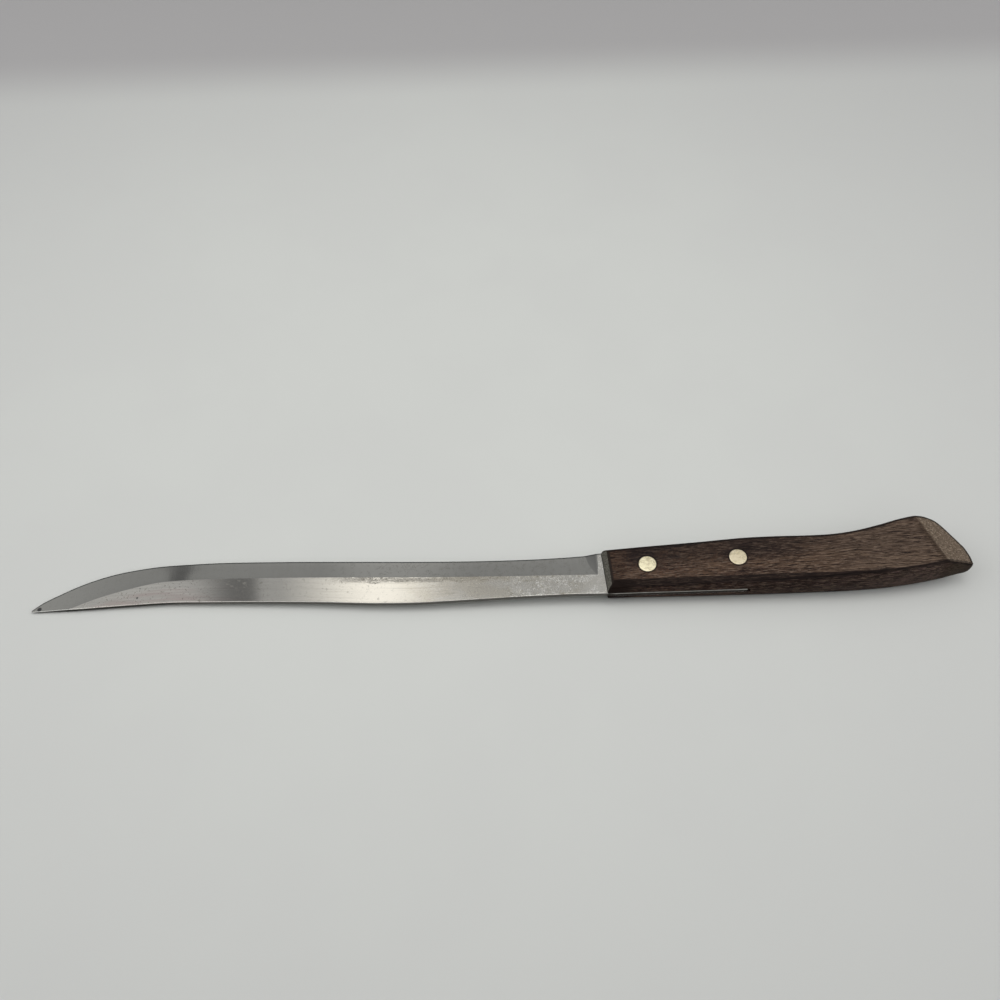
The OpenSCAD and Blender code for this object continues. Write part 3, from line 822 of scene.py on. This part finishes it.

# Painted shade darkens the sides just under the ridges and the far rim, where the wood turns
# from the light, and oil has darkened the wood round the rivets
uneven = sums(tree, "MULTIPLY_ADD", fibre["Tone"], 2.4, -1.2)
ridge_in = sums(tree, "ADD", sunk_in, uneven)
# Painted shade just under the ridge
ridge_shade = times(
    tree, side, between(tree, ridge_in, 0.5, 1.5, 0.85, 0.0), between(tree, x, 35.0, 70.0, 0.35, 1.0),
)
rim_in = sums(tree, "MULTIPLY_ADD", speck["Tone"], 0.5, from_side)
# Painted shade at the far rim, where the wood rounds away
rim_shade = between(tree, rim_in, 0.95, 1.25, 0.85, 0.0)
far_rim_shade = times(tree, rim_shade, between(tree, y, -7.0, -5.0))
shade_and_oil = most(tree, ridge_shade, far_rim_shade)
for rivet in (FRONT_RIVET, REAR_RIVET):
    off_axis = put(
        tree, "ShaderNodeCombineXYZ",
        {"X": sums(tree, "SUBTRACT", x, rivet[0]), "Y": sums(tree, "SUBTRACT", y, rivet[1])},
    ).outputs[0]
    gap = put(tree, "ShaderNodeVectorMath", {0: off_axis}, operation="LENGTH").outputs["Value"]
    ring = between(tree, sums(tree, "MULTIPLY_ADD", speck["Tone"], 1.2, gap), 4.1, 4.8, 0.65, 0.0)
    shade_and_oil = most(tree, shade_and_oil, ring)
# Painted shade under the ridges and at the far rim, and oil round the rivets
rimmed = blended(tree, shade_and_oil, edged, (0.01, 0.006, 0.0055))

# The crowned front end: greyish in its middle, partly its own end grain and partly a painted
# sheen, and painted shade next to the blade and where it rounds into the broad faces
front = value_of(tree, "at_front")
front_gap = value_of(tree, "behind_front")
mottled = blended(tree, speck["Lines"], (0.1, 0.096, 0.082), (0.23, 0.22, 0.19))
from_middle = sums(tree, "ABSOLUTE", place_xyz["Z"])
# Painted shade, with some grime, next to the blade; higher up a partly painted sheen
sheen_and_gap_shade = blended(tree, between(tree, from_middle, 1.2, 2.4), (0.012, 0.012, 0.01), mottled)
# Painted shade where the front end rounds into the broad faces
front_rounding_shade = blended(tree, between(tree, front_gap, 1.25, 1.7), sheen_and_gap_shade, (0.02, 0.014, 0.011))
fronted = blended(tree, times(tree, front, 0.94), rimmed, front_rounding_shade)
past_front = rest_of(tree, front)
# Painted shade on the broad faces just behind the front end
face_start_shade = times(tree, between(tree, front_gap, 2.9, 2.1, 0.0, 0.7), past_front)
started = blended(tree, face_start_shade, fronted, (0.016, 0.008, 0.007))
front_reach = between(tree, x, 13.0, 4.0)
# Painted shade: near the front the sides and chamfer are painted nearly black
low_front_shade = times(tree, most(tree, side, chamfer_here), front_reach, past_front, 0.85)
lowered = blended(tree, low_front_shade, started, (0.002, 0.001, 0.001))
# The first 13 mm behind the front are darkened
front_darkening = times(tree, front_reach, past_front, 0.45)
wood_colour = blended(tree, front_darkening, lowered, (0.016, 0.007, 0.004))
tree.links.new(wood_colour, shader["Base Color"])
dull_side = times(tree, side, 0.3)
wood_rough = sums(tree, "ADD", sums(tree, "MULTIPLY_ADD", patch["Tone"], 0.2, 0.42), dull_side)
tree.links.new(wood_rough, shader["Roughness"])
relief = sums(tree, "SUBTRACT", fibre["Tone"], pores["Lines"])
bump = put(tree, "ShaderNodeBump", {"Height": relief, "Strength": 0.8, "Distance": 0.00006})
tree.links.new(bump.outputs[0], shader["Normal"])
handle.data.materials.append(wood)

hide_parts("handle")
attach(handle, "root")


# Rivets. Two cutler's pairs of pale brass: a solid rivet from above is pressed into the tube of
# a hollow one from below, and the broad heads are ground off flush with the wood.
SHANK_R = 1.48
BORE_R = 1.51
SHANK_SHORT = 1.0
TUBE_SHORT = 0.6
SHANK_CHAMFER = 0.5
CROWN_RISE = 0.03

brass, tree, shader = finish("pale ground brass", Metallic=0.92)
place = place_in_mm(tree)
sanding = use(tree, lines, {"Place": place, "Stretch": (0.3, 2.6, 0.3), "From": 0.52, "To": 0.66})
dents = use(tree, stains, {"Place": place, "Size": 1.1})
mottling = use(tree, lines, {"Place": place, "Stretch": (0.8, 0.8, 0.8), "From": 0.45, "To": 0.62})
x = put(tree, "ShaderNodeSeparateXYZ", {0: place}).outputs["X"]
front_head = between(tree, x, 40.0, 20.0)
clean_brass = blended(tree, front_head, (0.74, 0.66, 0.49), (0.88, 0.815, 0.59))
dulled = blended(tree, times(tree, mottling["Lines"], 0.8), clean_brass, (0.68, 0.6, 0.41))
marked = blended(tree, times(tree, sanding["Lines"], 0.35), dulled, (0.4, 0.33, 0.2))
tarnished = times(tree, dents["Rims"], 0.5)
tree.links.new(blended(tree, tarnished, marked, (0.3, 0.26, 0.16)), shader["Base Color"])
tree.links.new(sums(tree, "MULTIPLY_ADD", sanding["Tone"], 0.25, 0.3), shader["Roughness"])
bump = put(tree, "ShaderNodeBump", {"Height": sanding["Tone"], "Strength": 0.5, "Distance": 0.00001})
tree.links.new(bump.outputs[0], shader["Normal"])

# The ground head: radius, share of its slight crown, and drop at the eased rim
RIM = [(0.0, 1.0, 0.0), (1.0, 0.9, 0.0), (2.0, 0.6, 0.0), (2.7, 0.25, 0.0), (3.0, 0.0, 0.0),
       (3.09, 0.0, -0.02), (3.145, 0.0, -0.06), (3.175, 0.0, -0.13)]


def turned(name, x, y, side, below):
    """A rivet half turned about its own axis, with its head ground to the slope of the wood."""
    turn = np.linspace(0, 2 * math.pi, 96, endpoint=False)
    rings = []
    for radius, crowned, drop in RIM:
        ring_x, ring_y = x + radius * np.cos(turn), y + radius * np.sin(turn)
        rings.append((ring_x, ring_y, broad_z(ring_x) + CROWN_RISE * crowned + drop))
    for radius, height in below:
        ring_x, ring_y = x + radius * np.cos(turn), y + radius * np.sin(turn)
        rings.append((ring_x, ring_y, np.full(len(turn), height)))
    points = np.concatenate([np.column_stack(ring) for ring in rings]) * (1, 1, side)
    count = len(turn)
    faces = []
    for j in range(len(rings) - 1):
        for k in range(count):
            a, b = j * count + k, j * count + (k + 1) % count
            faces.append((a, b, b + count, a + count))
    piece = mesh_object(name, points, faces)
    clean(piece, 50)
    piece.data.materials.append(brass)
    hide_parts(name.replace("_piece", ""))
    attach(piece, "root")


for name, axis in (("front", FRONT_RIVET), ("rear", REAR_RIVET)):
    seat = float(broad_z(axis[0])) - HEAD_T
    end = SHANK_SHORT - seat
    turned(f"{name}_rivet_male_piece", *axis, 1, [
        (HEAD_R, seat), (SHANK_R, seat), (SHANK_R, end + SHANK_CHAMFER),
        (SHANK_R - SHANK_CHAMFER, end), (0, end),
    ])
    turned(f"{name}_rivet_female_piece", *axis, -1, [
        (HEAD_R, seat), (TUBE_R, seat), (TUBE_R, TUBE_SHORT - seat), (BORE_R, TUBE_SHORT - seat),
        (BORE_R, seat - SHANK_SHORT / 2), (0, seat - SHANK_SHORT / 2),
    ])


# Table. A pale, smooth board that the handle's tapered face and the lower flat near the tip
# both lie on, so it leans a little towards the tip. It isn't part of the knife.
TABLE_TILT = math.atan(TAPER_RISE)
KNIFE_YAW = math.radians(3.0)
tilt_c, tilt_s = math.cos(TABLE_TILT), math.sin(TABLE_TILT)
yaw_c, yaw_s = math.cos(KNIFE_YAW), math.sin(KNIFE_YAW)
knife_x = Vector((tilt_c * yaw_c, tilt_c * yaw_s, tilt_s))
knife_z = Vector((-tilt_s * yaw_c, -tilt_s * yaw_s, tilt_c))
from_table = Matrix((knife_x, knife_z.cross(knife_x), knife_z))
lowest = Vector((0, 0, -FRONT_T / 2 - 0.01))
TABLE_HALF = 2500
TABLE_ROWS = 41

marks = np.linspace(-TABLE_HALF, TABLE_HALF, TABLE_ROWS)
table_points = [tuple(from_table @ Vector((u, v, 0)) + lowest) for v in marks for u in marks]
table_faces = []
for j in range(TABLE_ROWS - 1):
    for k in range(TABLE_ROWS - 1):
        a = j * TABLE_ROWS + k
        table_faces.append((a, a + 1, a + TABLE_ROWS + 1, a + TABLE_ROWS))
table = mesh_object("table", table_points, table_faces)
board, tree, shader = finish("pale table board", Roughness=0.65)
place = place_in_mm(tree)
# A painted pool of light: brighter round a point near the knife, dimmer further out
apart = put(tree, "ShaderNodeVectorMath", {0: place, 1: (-60.0, 95.0, 0.0)}, operation="DISTANCE")
dim = between(tree, apart.outputs["Value"], 60.0, 420.0, 0.0, 1.0)
soft = use(tree, lines, {"Place": place, "Stretch": (0.012, 0.012, 0.012), "From": 0.4, "To": 0.6})
lit = blended(tree, dim, (0.675, 0.69, 0.67), (0.55, 0.555, 0.55))
uneven_board = blended(tree, times(tree, soft["Lines"], 0.1), lit, (0.57, 0.565, 0.57))
depth = put(tree, "ShaderNodeSeparateXYZ", {0: place}).outputs["Y"]
behind = between(tree, depth, 300.0, 350.0, 0.0, 0.8)
tree.links.new(blended(tree, behind, uneven_board, (0.4, 0.39, 0.4)), shader["Base Color"])
table.data.materials.append(board)


# Light. A large soft lamp stands above and behind the knife and a soft panel at either end of
# it, as in a photographer's tent, and the tent's pale cloth lights it evenly from all round.
def lamp(name, place, aim, size, power, colour):
    """A square soft lamp at a place above the table that faces the aim point."""
    light = bpy.data.lights.new(name, "AREA")
    light.shape = "RECTANGLE"
    light.size, light.size_y = size
    light.energy = power
    light.color = colour
    holder = bpy.data.objects.new(name, light)
    there = from_table @ Vector(place)
    toward = from_table @ Vector(aim) - there
    holder.location = (there + Vector(CENTRE)) / 1000
    holder.rotation_euler = toward.to_track_quat("-Z", "Y").to_euler()
    bpy.context.scene.collection.objects.link(holder)


lamp("overhead panel", (0, 125, 885), (0, 0, 0), (0.5, 0.3), 1.6, (1.0, 0.99, 0.96))
lamp("left panel", (-850, 10, 700), (0, 0, 0), (0.8, 1.0), 3.7, (1.0, 1.0, 1.0))
lamp("right panel", (850, 10, 700), (0, 0, 0), (0.8, 1.0), 3.7, (1.0, 1.0, 1.0))

# The tent's cloth is bright overhead and dark at the table. A dark seam runs across it, sharp on
# one side and soft on the other, and bends aside higher up, where the hollow mirrors it. The sun
# behind the cloth makes one soft warm glow.
SEAM_MIDDLE = (-0.29, 0.56, 0.775)
GLOW = (-0.1218, 0.4737, 0.8722)
GLOW_REACH = math.radians(4.35)
world = bpy.data.worlds.new("tent")
bpy.context.scene.world = world
world.use_nodes = True
tree = world.node_tree
sky = put(tree, "ShaderNodeTexCoord").outputs["Generated"]
sky_xyz = put(tree, "ShaderNodeSeparateXYZ", {0: sky}).outputs
up = sky_xyz["Z"]
hung = blended(tree, between(tree, up, 0.3, 0.68), (0.1, 0.1, 0.105), (0.46, 0.46, 0.45))
cloth = blended(tree, between(tree, up, 0.74, 0.84), hung, (0.5, 0.5, 0.49))
low_seam = between(tree, up, 0.6, 0.78, -0.307, -0.299)
seam_x = sums(tree, "ADD", low_seam, between(tree, up, 0.79, 0.84, 0.0, 0.057))
seam_off = sums(tree, "SUBTRACT", seam_x, sky_xyz["X"])
across_seam = times(tree, seam_off, between(tree, up, 0.79, 0.84, 2.0, 1.0))
soft_side = between(tree, across_seam, 0.018, 0.066, 1.0, 0.0)
sharp_side = between(tree, across_seam, -0.003, 0.001)
seam_gap = put(tree, "ShaderNodeVectorMath", {0: sky, 1: SEAM_MIDDLE}, operation="DOT_PRODUCT")
along_seam = between(tree, seam_gap.outputs["Value"], 0.9, 0.96)
seam = times(tree, soft_side, sharp_side, along_seam)
seamed = blended(tree, seam, cloth, (0.18, 0.18, 0.18))
glow_gap = put(tree, "ShaderNodeVectorMath", {0: sky, 1: GLOW}, operation="DOT_PRODUCT")
glowing = between(tree, glow_gap.outputs["Value"], math.cos(GLOW_REACH), 1.0)
tent = blended(tree, glowing, seamed, (2.1, 2.02, 1.85))
seen = put(tree, "ShaderNodeLightPath").outputs["Is Camera Ray"]
shown = blended(tree, seen, tent, (0.5, 0.5, 0.5))
tree.links.new(shown, tree.nodes["Background"].inputs["Color"])
tree.nodes["Background"].inputs["Strength"].default_value = 1.0

# Camera. It stands in front of the knife and looks down on it.
LOOK_DOWN = math.radians(56.75)
STAND = Vector((-36.92, -174.98, 310.06))
ORIGIN_SHIFT = Vector((-1.39, 4.466, 0))
FOCAL = 34.56
SENSOR_W = 36

look_s, look_c = math.sin(LOOK_DOWN), math.cos(LOOK_DOWN)
right = from_table @ Vector((1, 0, 0))
above = from_table @ Vector((0, look_s, look_c))
back = from_table @ Vector((0, -look_c, look_s))
eye = (from_table @ STAND + ORIGIN_SHIFT + Vector(CENTRE)) / 1000
camera = bpy.data.cameras.new("camera")
camera.lens = FOCAL
camera.sensor_width = SENSOR_W
camera.clip_start = 0.01
camera.clip_end = 20
viewer = bpy.data.objects.new("camera", camera)
bpy.context.scene.collection.objects.link(viewer)
viewer.matrix_world = Matrix.Translation(eye) @ Matrix((right, above, back)).transposed().to_4x4()
bpy.context.scene.camera = viewer
bpy.context.scene.view_settings.view_transform = "Standard"
